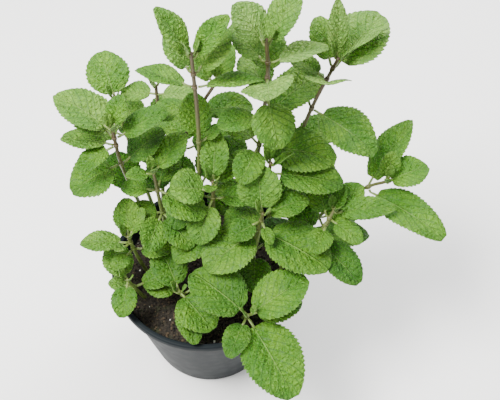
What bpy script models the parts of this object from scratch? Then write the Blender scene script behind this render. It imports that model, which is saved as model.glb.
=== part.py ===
"""A young mint plant in a round nursery pot.

Millimetres and degrees are used for the named values below; the model itself
is built in metres, Z up, with the pot axis on the Z axis and its underside at
Z = 0.  Azimuth 0 points along +X, 90 along +Y.
"""
import math

import bmesh
import bpy
import numpy as np
from mathutils import Vector
from mathutils.bvhtree import BVHTree

MM = 0.001

# ---------------------------------------------------------------- driving sizes
POT_HEIGHT = 95.0
RIM_RADIUS = 65.0
BASE_RADIUS = 44.5
WALL = 1.4
FLOOR = 1.8
LIP_HEIGHT = 5.0
LIP_OVERHANG = 2.2
POT_SIDES = 48
DRAIN_HOLES = 5
DRAIN_RADIUS = 4.0
DRAIN_CIRCLE = 28.0

SOIL_TOP = 81.0
SOIL_CROWN = 2.0
GAP = 0.3

STEM_ROOT = 8.0
STEM_RADIUS = 1.6
STEM_TIP_RADIUS = 1.1
STEM_SIDES = 6
COLLAR_WALL = 0.8
COLLAR_HEIGHT = 2.6
COLLAR_SIDES = 6

LEAF_THICKNESS = 0.9
PETIOLE_RADIUS = 0.8
CLEARANCE = 0.4

# Each shoot: stem points in mm from the soil upwards, then its leaf nodes from
# the top down.  A node is its height followed by its leaves, each leaf being
# azimuth, pitch, roll, length, width.
SHOOTS = {
    "a": (
        ((-5, 15, 81), (-3, 24, 150), (-1, 28, 205), (-2, 29, 262)),
        (
            (258, (150, 50, 0, 33, 17), (20, 45, 30, 31, 14)),
            (246, (40, 35, 0, 29, 24), (135, 35, 0, 24, 16)),
            (236, (164, 5, 15, 32, 19), (5, 0, -18, 36, 17)),
            (190, (30, 20, 0, 14, 10), (100, 10, 0, 28, 21)),
            (150, (60, 10, 0, 34, 25), (240, -5, 0, 30, 22), (150, 5, 0, 26, 20)),
        ),
    ),
    "b": (
        ((25, 25, 81), (34, 34, 160), (40, 38, 230), (39, 40, 262)),
        (
            (257, (139, 35, 0, 28, 24), (44, 45, 0, 35, 20)),
            (245, (147, 30, 0, 27, 20), (8, 10, -15, 32, 21)),
            (234, (270, 40, 0, 32, 30), (90, 20, 0, 30, 23)),
            (220, (285, -40, 0, 30, 26), (110, 5, 0, 30, 22)),
            (203, (25, 5, 0, 45, 28), (200, 0, 0, 26, 20)),
            (178, (12, -5, 0, 46, 30), (130, 0, 0, 30, 22), (275, -10, 0, 28, 20)),
        ),
    ),
    "c": (
        ((38, 30, 81), (55, 40, 150), (68, 46, 200), (81, 47, 241)),
        (
            (239, (94, 62, 0, 35, 12), (22, 24, -40, 33, 15)),
            (233, (110, 32, 0, 29, 19), (45, 34, 0, 42, 36)),
            (224, (265, 40, 0, 24, 27), (150, 10, 0, 22, 16)),
            (200, (327, -20, 0, 45, 32), (106, 15, 0, 30, 22)),
            (165, (40, 0, 0, 36, 26), (130, 10, 0, 32, 24), (310, -10, 0, 32, 24)),
        ),
    ),
    "d": (
        ((45, 10, 81), (80, 18, 130), (104, 22, 150), (119, 19, 162)),
        (
            (160, (15, 10, 0, 28, 24), (70, 50, 20, 19, 14)),
            (152, (52, 42, -25, 50, 25), (321, -5, 0, 56, 27)),
            (125, (85, 10, 0, 36, 26), (290, -20, 0, 34, 24), (20, -10, 0, 30, 22)),
        ),
    ),
    "e": (
        ((-35, 20, 81), (-44, 24, 130), (-51, 25, 170), (-52, 24, 206)),
        (
            (204, (69, 45, 0, 21, 14), (150, 12, 0, 40, 26)),
            (197, (138, 12, 0, 36, 28), (22, 15, 0, 33, 19)),
            (190, (215, -15, 0, 24, 16), (183, -5, 0, 32, 24)),
            (172, (210, -15, 0, 32, 32), (30, 15, 0, 31, 24)),
            (140, (120, 10, 0, 32, 24), (300, -10, 0, 24, 18), (40, 5, 0, 26, 20)),
        ),
    ),
    "f": (
        ((-33, 33, 81), (-50, 56, 150), (-58, 70, 186)),
        (
            (184, (110, 25, 0, 33, 28), (290, 30, 0, 16, 10)),
            (160, (170, 10, 0, 32, 24), (20, 5, 0, 26, 20), (90, 0, 0, 30, 22)),
        ),
    ),
    "g": (
        ((-43, 2, 81), (-46, -4, 112), (-48, -8, 139)),
        (
            (137, (94, 30, 0, 24, 18), (39, 35, 0, 20, 11)),
            (130, (183, 0, 0, 29, 16), (215, 20, 0, 10, 8)),
            (121, (355, 0, 0, 22, 17), (250, -10, 0, 16, 12)),
        ),
    ),
    "h": (
        ((-42, -20, 81), (-46, -23, 98), (-50, -25, 114)),
        (
            (112, (94, 30, 0, 27, 20), (263, -20, 0, 23, 17)),
            (102, (15, 5, 0, 24, 17), (170, 0, 0, 14, 11)),
        ),
    ),
    "j": (
        ((28, 0, 81), (34, -2, 120), (38, -4, 159)),
        (
            (157, (99, 25, 0, 30, 28), (18, 5, 0, 29, 20)),
            (150, (213, -10, 0, 20, 17), (290, -10, 0, 15, 8)),
            (140, (217, -15, 0, 40, 34), (328, -8, 0, 48, 37)),
            (112, (80, 0, 0, 34, 25), (270, -5, 0, 28, 22), (180, 0, 0, 30, 22)),
        ),
    ),
    "k": (
        ((45, -5, 81), (60, -5, 115), (75, -4, 138), (84, 4, 153)),
        (
            (151, (56, 50, 0, 18, 10), (354, 5, 20, 38, 15)),
            (147, (109, 25, 0, 24, 20), (312, 0, 0, 24, 15)),
            (143, (45, 20, 0, 34, 23), (250, 0, 0, 22, 16)),
            (134, (312, -15, 0, 38, 24), (15, -10, 0, 36, 22), (120, 5, 0, 30, 22)),
        ),
    ),
    "l": (
        ((25, -35, 81), (27, -45, 101), (29, -55, 121)),
        (
            (119, (142, 20, 0, 44, 34), (27, 15, 0, 42, 30)),
            (111, (301, -20, 0, 55, 38), (250, 0, 0, 28, 17), (20, -5, 0, 34, 26)),
        ),
    ),
    "m": (
        ((-12, -22, 81), (-14, -27, 96), (-16, -32, 111)),
        (
            (109, (115, 30, 0, 34, 24), (311, -12, 0, 32, 29)),
            (100, (160, 5, 0, 24, 18), (285, -10, 0, 34, 18), (30, 5, 0, 26, 20)),
        ),
    ),
    "n": (
        ((-22, 5, 81), (-27, 10, 140), (-30, 16, 176)),
        (
            (174, (56, 10, 0, 32, 20), (200, 10, 0, 16, 11)),
            (160, (330, -15, 0, 32, 25), (173, -5, 0, 20, 16), (80, 5, 0, 30, 22)),
            (140, (310, -20, 0, 28, 21), (178, -22, 0, 26, 20), (240, -10, 0, 26, 20)),
        ),
    ),
    "q": (
        ((5, 8, 81), (6, 9, 125), (7, 10, 173)),
        (
            (171, (85, 35, 0, 31, 18), (260, 30, 0, 14, 9)),
            (164, (32, 10, 0, 42, 26), (185, 10, 0, 24, 28)),
            (156, (0, 0, 0, 24, 18), (125, 10, 0, 30, 22), (250, -10, 0, 28, 22)),
            (130, (50, 0, 0, 34, 25), (230, -10, 0, 34, 25), (310, -5, 0, 28, 22), (140, 0, 0, 30, 22)),
        ),
    ),
    "r": (
        ((30, 15, 81), (36, 17, 130), (43, 20, 179)),
        (
            (177, (95, 60, 0, 21, 8), (350, 42, 0, 21, 8)),
            (170, (350, -5, 0, 44, 29), (160, 5, 0, 24, 18)),
            (140, (40, 0, 0, 38, 27), (255, -15, 0, 30, 22), (130, 0, 0, 30, 22)),
        ),
    ),
    "s": (
        ((-20, 38, 81), (-12, 48, 170), (11, 50, 221)),
        (
            (217, (53, 45, 0, 25, 16), (150, 30, 0, 22, 14)),
            (195, (8, -5, 0, 32, 24), (195, 0, 0, 26, 20)),
            (160, (100, 5, 0, 34, 26), (190, -5, 0, 26, 20), (20, 0, 0, 30, 22)),
        ),
    ),
    "t": (
        ((-33, 42, 81), (-31, 66, 150), (-31, 75, 191)),
        (
            (184, (172, 5, 0, 23, 18), (350, 5, 0, 24, 18)),
            (152, (80, 15, 0, 30, 23), (215, -10, 0, 20, 15), (160, 0, 0, 28, 21)),
        ),
    ),
}

# Small unopened leaves at the growing point: azimuth offset, pitch, length, width.
BUD_LEAVES = ((60, 68, 11, 6), (240, 62, 9, 5))

# Ways a leaf may turn aside to grow clear of its neighbours, mildest first.
TURNS = sorted(
    (
        (pitch, azimuth, roll)
        for pitch in (0, 8, -8, 16, -16, 25, -25, 35, -35)
        for azimuth in (0, 8, -8, 16, -16, 26, -26, 38, -38)
        for roll in (0, 15, -15, 30, -30)
    ),
    key=lambda t: (abs(t[0]) + abs(t[1]) + 0.6 * abs(t[2]), t),
)
SHRINKS = (1.0, 0.88, 0.76, 0.64, 0.52)

MATERIALS = {
    "pot_plastic": ((0.055, 0.066, 0.070), 0.55),
    "soil_mix": ((0.030, 0.024, 0.017), 0.95),
    "stem_green": ((0.140, 0.150, 0.050), 0.55),
    "leaf_green": ((0.115, 0.290, 0.040), 0.60),
}


# ---------------------------------------------------------------- scene helpers
def clear_scene():
    for old in list(bpy.data.objects):
        bpy.data.objects.remove(old, do_unlink=True)


def material(name):
    found = bpy.data.materials.get(name)
    if found:
        return found
    colour, roughness = MATERIALS[name]
    made = bpy.data.materials.new(name)
    made.use_nodes = True
    shader = made.node_tree.nodes["Principled BSDF"]
    shader.inputs["Base Color"].default_value = (*colour, 1.0)
    shader.inputs["Roughness"].default_value = roughness
    shader.inputs["Metallic"].default_value = 0.0
    return made


def add_object(name, points, faces, material_name, smooth=True):
    """Make one mesh object from points in mm."""
    mesh = bpy.data.meshes.new(name)
    mesh.from_pydata([tuple(c * MM for c in p) for p in points], [], faces)
    mesh.polygons.foreach_set("use_smooth", [smooth] * len(mesh.polygons))
    made = bpy.data.objects.new(name, mesh)
    bpy.context.scene.collection.objects.link(made)
    mesh.materials.append(material(material_name))
    shell = bmesh.new()
    shell.from_mesh(mesh)
    bmesh.ops.recalc_face_normals(shell, faces=shell.faces)
    shell.to_mesh(mesh)
    shell.free()
    return made


def combine(target, other, operation):
    """Apply one exact Boolean of `other` to `target` and drop `other`."""
    step = target.modifiers.new("join", "BOOLEAN")
    step.operation = operation
    step.solver = "EXACT"
    step.object = other
    bpy.context.view_layer.update()
    result = target.evaluated_get(bpy.context.evaluated_depsgraph_get())
    mesh = bpy.data.meshes.new_from_object(result)
    target.modifiers.clear()
    old = target.data
    target.data = mesh
    mesh.name = target.name
    bpy.data.meshes.remove(old)
    bpy.data.objects.remove(other, do_unlink=True)


def loft(rings):
    """Join closed rings of equal count into one capped solid."""
    count = len(rings[0])
    points = [tuple(p) for ring in rings for p in ring]
    faces = []
    for k in range(len(rings) - 1):
        for i in range(count):
            j = (i + 1) % count
            faces.append((k * count + i, k * count + j, (k + 1) * count + j, (k + 1) * count + i))
    last = (len(rings) - 1) * count
    faces.append(tuple(reversed(range(count))))
    faces.append(tuple(last + i for i in range(count)))
    return points, faces


def revolve(profile, sides):
    """Turn a closed (radius, height) outline about the Z axis."""
    points = []
    for i in range(sides):
        turn = 2 * math.pi * i / sides
        points += [(r * math.cos(turn), r * math.sin(turn), z) for r, z in profile]
    count = len(profile)
    faces = []
    for i in range(sides):
        a = i * count
        b = (i + 1) % sides * count
        for k in range(count):
            n = (k + 1) % count
            faces.append((a + k, b + k, b + n, a + n))
    return points, faces


def circle(centre, axis, radius, sides, phase=0.0):
    axis = Vector(axis).normalized()
    side = axis.cross(Vector((0, 1, 0))).normalized()
    other = axis.cross(side)
    ring = []
    for i in range(sides):
        turn = 2 * math.pi * i / sides + phase
        ring.append(Vector(centre) + radius * (math.cos(turn) * side + math.sin(turn) * other))
    return ring


# ---------------------------------------------------------------- pot and soil
def outer_radius(height):
    """Outside radius of the tapered wall at a height, in mm."""
    top = RIM_RADIUS - LIP_OVERHANG
    return BASE_RADIUS + (top - BASE_RADIUS) * height / POT_HEIGHT


def build_pot():
    """Tapered thin wall with a rounded lip, and a floor with drain holes."""
    under = POT_HEIGHT - LIP_HEIGHT
    inside_top = outer_radius(POT_HEIGHT) - WALL
    inside_foot = outer_radius(FLOOR) - WALL
    wall = [
        (BASE_RADIUS - 1.2, 0.0),
        (BASE_RADIUS, 1.2),
        (outer_radius(under - 1.0), under - 1.0),
        (RIM_RADIUS - 0.7, under),
        (RIM_RADIUS, under + 0.8),
        (RIM_RADIUS, POT_HEIGHT - 1.0),
        (RIM_RADIUS - 0.8, POT_HEIGHT),
        (inside_top + 0.8, POT_HEIGHT),
        (inside_top, POT_HEIGHT - 0.8),
        (inside_foot, FLOOR + 2.0),
        (inside_foot - 2.0, FLOOR),
    ]
    points = []
    for i in range(POT_SIDES):
        turn = 2 * math.pi * i / POT_SIDES
        points += [(r * math.cos(turn), r * math.sin(turn), z) for r, z in wall]
    count = len(wall)
    faces = []
    for i in range(POT_SIDES):
        a = i * count
        b = (i + 1) % POT_SIDES * count
        for k in range(count - 1):
            faces.append((a + k, b + k, b + k + 1, a + k + 1))
    faces.append(tuple(i * count for i in reversed(range(POT_SIDES))))
    faces.append(tuple(i * count + count - 1 for i in range(POT_SIDES)))
    pot = add_object("pot", points, faces, "pot_plastic")
    for i in range(DRAIN_HOLES):
        turn = 2 * math.pi * i / DRAIN_HOLES + math.pi / 2
        x = DRAIN_CIRCLE * math.cos(turn)
        y = DRAIN_CIRCLE * math.sin(turn)
        low = circle((x, y, -2.0), (0, 0, 1), DRAIN_RADIUS, 12)
        high = circle((x, y, FLOOR + 2.0), (0, 0, 1), DRAIN_RADIUS, 12)
        drill = add_object("drain_drill", *loft([low, high]), "pot_plastic")
        combine(pot, drill, "DIFFERENCE")
    return pot


def soil_height(x, y):
    """Gently uneven soil surface, highest near the middle."""
    reach = math.hypot(x, y) / RIM_RADIUS
    swell = SOIL_CROWN * (1 - reach * reach)
    lumps = 0.5 * math.sin(0.21 * x + 1.0) * math.cos(0.17 * y) + 0.3 * math.sin(0.33 * y + 0.4 * x)
    return SOIL_TOP + swell + lumps


def build_soil(stems):
    """Soil filling the pot to below its rim, with a socket for every stem."""
    reach = outer_radius(SOIL_TOP - 1) - WALL - GAP - 0.1
    foot = outer_radius(FLOOR) - WALL - GAP - 0.15
    sides = 32
    shares = (1.0, 0.8, 0.55, 0.28)
    rings = [circle((0, 0, FLOOR + GAP), (0, 0, 1), foot - 2.5, sides)]
    rings.append(circle((0, 0, FLOOR + GAP + 2.5), (0, 0, 1), foot, sides))
    for share in shares:
        flat = circle((0, 0, 0), (0, 0, 1), reach * share, sides)
        rings.append([Vector((p.x, p.y, soil_height(p.x, p.y))) for p in flat])
    soil = add_object("soil", *loft(rings), "soil_mix")
    for path in stems.values():
        low = path[0]
        axis = (path[1] - path[0]).normalized()
        start = low - GAP * axis
        end = low + (STEM_ROOT + 8.0) * axis
        radius = (STEM_RADIUS + GAP + 0.05) / math.cos(math.pi / 8)
        drill = add_object(
            "socket_drill",
            *loft([circle(start, axis, radius, 8), circle(end, axis, radius, 8)]),
            "soil_mix",
        )
        combine(soil, drill, "DIFFERENCE")
    return soil


# ---------------------------------------------------------------- stems
def stem_path(marks):
    """Smooth line through the marks, with a straight root below the soil."""
    marks = [Vector(m) for m in marks]
    first = (marks[1] - marks[0]).normalized()
    root = marks[0] - STEM_ROOT * first
    line = [root]
    padded = [marks[0] * 2 - marks[1]] + marks + [marks[-1] * 2 - marks[-2]]
    for k in range(1, len(padded) - 2):
        p0, p1, p2, p3 = padded[k - 1:k + 3]
        for step in range(3):
            t = step / 3
            line.append(
                0.5 * (2 * p1 + (p2 - p0) * t + (2 * p0 - 5 * p1 + 4 * p2 - p3) * t * t
                       + (3 * p1 - p0 - 3 * p2 + p3) * t ** 3)
            )
    line.append(marks[-1])
    return line


def stem_at(path, height):
    """Point, direction and radius of a stem at a height."""
    for low, high in zip(path, path[1:]):
        if high.z >= height:
            break
    t = (height - low.z) / (high.z - low.z)
    share = (height - path[0].z) / (path[-1].z - path[0].z)
    radius = STEM_RADIUS + (STEM_TIP_RADIUS - STEM_RADIUS) * share
    return low.lerp(high, t), (high - low).normalized(), radius


def stem_solid(path):
    rings = []
    for k, centre in enumerate(path):
        ahead = path[min(k + 1, len(path) - 1)] - path[max(k - 1, 0)]
        share = (centre.z - path[0].z) / (path[-1].z - path[0].z)
        radius = STEM_RADIUS + (STEM_TIP_RADIUS - STEM_RADIUS) * share
        rings.append(circle(centre, ahead, radius, STEM_SIDES))
    return loft(rings)


def collar_solid(path, height):
    """Swollen ring that sits round the stem with a small gap."""
    centre, axis, radius = stem_at(path, height)
    scale = 1 / math.cos(math.pi / COLLAR_SIDES)
    bore = (radius + GAP + 0.05) * scale
    rim = bore + COLLAR_WALL
    half = 0.5 * COLLAR_HEIGHT * axis
    inner = [circle(centre + k * half, axis, bore, COLLAR_SIDES) for k in (-1, 1)]
    outer = [circle(centre + k * half, axis, rim, COLLAR_SIDES) for k in (-1, 1)]
    points = inner[0] + outer[0] + outer[1] + inner[1]
    n = COLLAR_SIDES
    faces = []
    for band in range(4):
        a = band * n
        b = (band + 1) % 4 * n
        for i in range(n):
            j = (i + 1) % n
            faces.append((a + i, a + j, b + j, b + i))
    return [tuple(p) for p in points], faces


# ---------------------------------------------------------------- leaves
def blade_half_width(u):
    """Half width over full width along the blade: broad low down, blunt tip."""
    return 0.5 * math.sin(math.pi * (0.04 + 0.935 * u) ** 0.86) ** 0.62


def leaf_frame(seat, out, leaf, rows):
    """Centre line of a leaf with its side and face directions and half widths.

    seat is the point on the collar or stem, out the level outward direction.
    """
    azimuth, pitch, roll, length, width = leaf
    az = math.radians(azimuth)
    level = Vector((math.cos(az), math.sin(az), 0))
    side = Vector((-math.sin(az), math.cos(az), 0))
    droop = math.radians(28)
    petiole = 0.07 * length + 1.0
    blade = length - petiole
    start = seat + out * 1.8
    lift = math.radians(pitch) + droop / 2
    rows_out = []
    spin = math.radians(roll)
    where = start.copy()
    steps = rows - 1
    lead = level * math.cos(lift) + Vector((0, 0, 1)) * math.sin(lift)
    where += lead * petiole
    for k in range(rows):
        u = k / steps
        angle = lift - droop * u
        ahead = level * math.cos(angle) + Vector((0, 0, 1)) * math.sin(angle)
        up = ahead.cross(side) * -1
        if up.z < 0 and abs(angle) < math.pi / 2:
            up = -up
        turned_side = side * math.cos(spin) + up * math.sin(spin)
        turned_up = up * math.cos(spin) - side * math.sin(spin)
        half = max(width * blade_half_width(u), 0.9 * PETIOLE_RADIUS)
        rows_out.append((where.copy(), turned_side, turned_up, half))
        where += ahead * blade / steps
    return start, lead, rows_out


def leaf_solid(seat, out, leaf, grow=0.0):
    """Thin folded blade on a short stalk; grow fattens it all round."""
    rows = 7 if leaf[3] > 26 else 6 if leaf[3] > 16 else 4
    start, lead, frame = leaf_frame(seat, out, leaf, rows)
    side = Vector((-out.y, out.x, 0)).normalized()
    up = out.cross(side)
    fold = math.tan(math.radians(14))
    stalk = PETIOLE_RADIUS * 0.8
    thick = LEAF_THICKNESS / 2
    rings = []
    if grow == 0.0:
        rings.append(section(seat, side, up, PETIOLE_RADIUS, stalk, 0, 0))
    rings.append(section(start, side, up, PETIOLE_RADIUS, stalk, 0, grow))
    for k, (centre, across, face, half) in enumerate(frame):
        blend = thick if k else stalk
        rings.append(section(centre, across, face, half, blend, fold if k else 0, grow))
    return loft(rings)


def section(centre, across, face, half, thick, fold, grow):
    """Points round a folded strip that thins to a fine edge on both sides.

    With grow the strip is fattened all round and its edges become blunt.
    """
    lift = face * (half * fold)
    left = centre - across * (half + grow) + lift
    right = centre + across * (half + grow) + lift
    above = centre + face * (thick + grow)
    below = centre - face * (thick + grow)
    if grow == 0.0:
        return [left, above, right, below]
    blunt = face * grow
    return [left + blunt, above, right + blunt, right - blunt, below, left - blunt]


def seat_for(path, height, azimuth, free):
    """Where a leaf stalk starts: in the collar wall, or inside the stem."""
    centre, axis, radius = stem_at(path, height)
    az = math.radians(azimuth)
    level = Vector((math.cos(az), math.sin(az), 0))
    out = (level - axis * level.dot(axis)).normalized()
    reach = radius + GAP + 0.05 + COLLAR_WALL * 0.5 if free else 0.2
    return centre + out * reach, out


class Room:
    """Everything already placed, for testing whether a new leaf grows clear."""

    def __init__(self):
        self.solids = []
        self.trees = {}

    def add(self, solid, owner=None):
        self.solids.append((owner, solid))
        self.trees = {}

    def tree(self, skip):
        """Search tree of all solids but those of one owner."""
        if skip not in self.trees:
            points = []
            faces = []
            for owner, (solid_points, solid_faces) in self.solids:
                if owner is None or owner != skip:
                    base = len(points)
                    points += [tuple(p) for p in solid_points]
                    faces += [tuple(base + i for i in face) for face in solid_faces]
            self.trees[skip] = BVHTree.FromPolygons(points, faces)
        return self.trees[skip]

    def blocked(self, solid, skip):
        points, faces = solid
        shape = BVHTree.FromPolygons([tuple(p) for p in points], faces)
        return bool(self.tree(skip).overlap(shape))


def settle(room, path, height, leaf, owner):
    """Turn or shrink a leaf as little as needed until it is clear.

    A leaf with an owner grows straight from that shoot's stem, one without
    grows from a collar of its own.
    """
    free = owner is None
    azimuth, pitch, roll, length, width = leaf
    for shrink in SHRINKS:
        for d_pitch, d_azimuth, d_roll in TURNS:
            tried = (azimuth + d_azimuth, pitch + d_pitch, roll + d_roll,
                     length * shrink, width * shrink)
            seat, out = seat_for(path, height, tried[0], free)
            if not room.blocked(leaf_solid(seat, out, tried, CLEARANCE), owner):
                room.add(leaf_solid(seat, out, tried), owner)
                return tried
    raise ValueError("no clear space for a leaf at height %s" % height)


def grow_leaves(stems):
    """Settle every leaf from the top of the plant down."""
    room = Room()
    depth = POT_HEIGHT - 1
    room.add(revolve([(RIM_RADIUS + 0.3, depth - 9), (RIM_RADIUS + 0.3, depth + 1.3),
                      (outer_radius(depth) - WALL - 0.3, depth + 1.3),
                      (outer_radius(depth - 9) - WALL - 0.3, depth - 9)], 32))
    ground = circle((0, 0, SOIL_TOP + SOIL_CROWN + 1.0), (0, 0, 1), RIM_RADIUS - 5, 32)
    room.add((ground, [tuple(range(32))]))
    for key, path in stems.items():
        room.add(stem_solid(path), key)
    jobs = []
    for key, (marks, nodes) in SHOOTS.items():
        for rank, node in enumerate(nodes):
            if rank:
                room.add(collar_solid(stems[key], node[0]))
            for slot, leaf in enumerate(node[1:]):
                jobs.append((-node[0], key, rank, slot, leaf))
    placed = {}
    for key, (marks, nodes) in SHOOTS.items():
        top = stems[key][-1].z - 1.0
        for slot, (turn, pitch, length, width) in enumerate(BUD_LEAVES):
            leaf = (nodes[0][1][0] + turn, pitch, 0, length, width)
            placed[key, "bud", slot] = settle(room, stems[key], top, leaf, key)
    for low, key, rank, slot, leaf in sorted(jobs):
        owner = None if rank else key
        placed[key, rank, slot] = settle(room, stems[key], -low, leaf, owner)
    return placed


def build_plant(stems, placed):
    """One object per shoot and one per collared pair of leaves."""
    for key, (marks, nodes) in SHOOTS.items():
        path = stems[key]
        shoot = add_object("shoot_" + key, *stem_solid(path), "stem_green")
        for slot in range(len(BUD_LEAVES)):
            leaf = placed[key, "bud", slot]
            seat, out = seat_for(path, path[-1].z - 1.0, leaf[0], False)
            bud = add_object("bud", *leaf_solid(seat, out, leaf), "leaf_green")
            combine(shoot, bud, "UNION")
        for rank, node in enumerate(nodes):
            if rank:
                holder = add_object("leaves_%s%d" % (key, rank),
                                    *collar_solid(path, node[0]), "stem_green")
            else:
                holder = shoot
            for slot in range(len(node) - 1):
                leaf = placed[key, rank, slot]
                seat, out = seat_for(path, node[0], leaf[0], rank > 0)
                blade = add_object("blade", *leaf_solid(seat, out, leaf), "leaf_green")
                combine(holder, blade, "UNION")


def main():
    clear_scene()
    stems = {key: stem_path(shoot[0]) for key, shoot in SHOOTS.items()}
    build_pot()
    build_soil(stems)
    build_plant(stems, grow_leaves(stems))


main()
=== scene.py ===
"""The mint plant and its pot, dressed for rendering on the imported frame.

Millimetres and degrees for named values; geometry is made in metres with the
pot axis on Z.  Azimuth 0 points along +X, 90 along +Y.
"""
import math

import bpy
import numpy as np
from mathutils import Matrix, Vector
from mathutils.bvhtree import BVHTree

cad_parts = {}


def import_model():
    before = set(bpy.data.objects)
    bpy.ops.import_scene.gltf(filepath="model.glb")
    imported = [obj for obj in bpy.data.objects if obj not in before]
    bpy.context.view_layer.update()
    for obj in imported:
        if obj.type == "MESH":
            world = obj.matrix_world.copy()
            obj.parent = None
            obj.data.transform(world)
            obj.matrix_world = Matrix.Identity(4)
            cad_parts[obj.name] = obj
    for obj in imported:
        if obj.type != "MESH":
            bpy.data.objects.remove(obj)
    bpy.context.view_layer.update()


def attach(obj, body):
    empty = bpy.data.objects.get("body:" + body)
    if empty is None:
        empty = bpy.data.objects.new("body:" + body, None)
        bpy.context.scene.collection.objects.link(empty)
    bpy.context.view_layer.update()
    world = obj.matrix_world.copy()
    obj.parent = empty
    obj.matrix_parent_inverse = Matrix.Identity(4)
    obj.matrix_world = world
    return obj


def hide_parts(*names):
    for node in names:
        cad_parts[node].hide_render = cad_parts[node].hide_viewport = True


MM = 0.001

# ---------------------------------------------------------------- driving sizes
POT_HEIGHT = 95.0
RIM_RADIUS = 65.0
BASE_RADIUS = 44.5
WALL = 1.4
FLOOR = 1.8
LIP_HEIGHT = 5.0
LIP_OVERHANG = 2.2

SOIL_TOP = 81.0
SOIL_CROWN = 2.0
GAP = 0.3

STEM_ROOT = 8.0
STEM_RADIUS = 1.6
STEM_TIP_RADIUS = 1.1
STEM_SIDES = 6
COLLAR_WALL = 0.8
COLLAR_HEIGHT = 2.6
COLLAR_SIDES = 6

LEAF_THICKNESS = 0.9
PETIOLE_RADIUS = 0.8
LEAF_DROOP = 28  # degrees a blade bends down from stalk to tip
LEAF_FOLD = 14  # degrees each half of a blade rises from its rib
CLEARANCE = 0.4

# ---------------------------------------------------------------- fine detail
VEINS = 6.5
VEIN_SWEEP = 2.6
TOOTH_PITCH = 2.9
TOOTH_DEPTH = 0.105  # share of the half width
QUILT = 1.05
SHEET = 0.18  # half the thickness of a fine blade
COLUMNS = 17  # points across one face of a blade
LEAST_ROWS = 20
ROWS_PER_MM = 1.9
FULL_RELIEF_LENGTH = 34.0  # shorter leaves are quilted less
BLADE_FOOT = 0.35  # extra half thickness where a blade leaves its stalk
STALK_SIDES = 10
STALK_SIZE = (0.85, 0.62)  # half width and half depth

STEM_POINTS = 16
STEM_SQUARENESS = 0.07
STEM_SLIMNESS = 0.94  # fine radius over coarse radius
COLLAR_TURNS = 20
COLLAR_ROUND = 10
COLLAR_BULGE = 0.30

POT_TURNS = 144
SOIL_TURNS = 160
SOIL_ROWS = 56
SOIL_ROUGHNESS = 0.35
SOIL_SEED = 7
CRUMBS = 2600
CRUMB_SIDES = 7
PALE_GRAIN_EVERY = 60

# ---------------------------------------------------------------- tones
STEM_LOOK, BLADE_LOOK = 0, 1  # order of the plant's two materials
STALK_TONE = 0.2
BUD_TONE = 0.72
SOIL_TONE = 0.3
PALE_SHOOTS = "ftbchg"
TALL_STEM = 230  # a stem this tall is fully flushed at its tip

# ---------------------------------------------------------------- stage, metres
FLOOR_REACH = 4.0
STUDIO_STRENGTH = 1.25
LIGHTS = (  # name, place, aim, size, watts, colour
    ("key", (-0.45, -0.15, 1.10), (0, 0, 0.15), 0.45, 34.0, (1.0, 0.985, 0.95)),
    ("back", (0.45, 0.70, 0.9), (0, 0, 0.2), 0.5, 14.0, (1, 1, 1)),
)
CAMERA_PLACE = (30.0, -293.0, 563.0)  # mm
CAMERA_DOWN = 53.5
CAMERA_LENS = 57.6
CAMERA_SENSOR = 36.0

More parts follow.
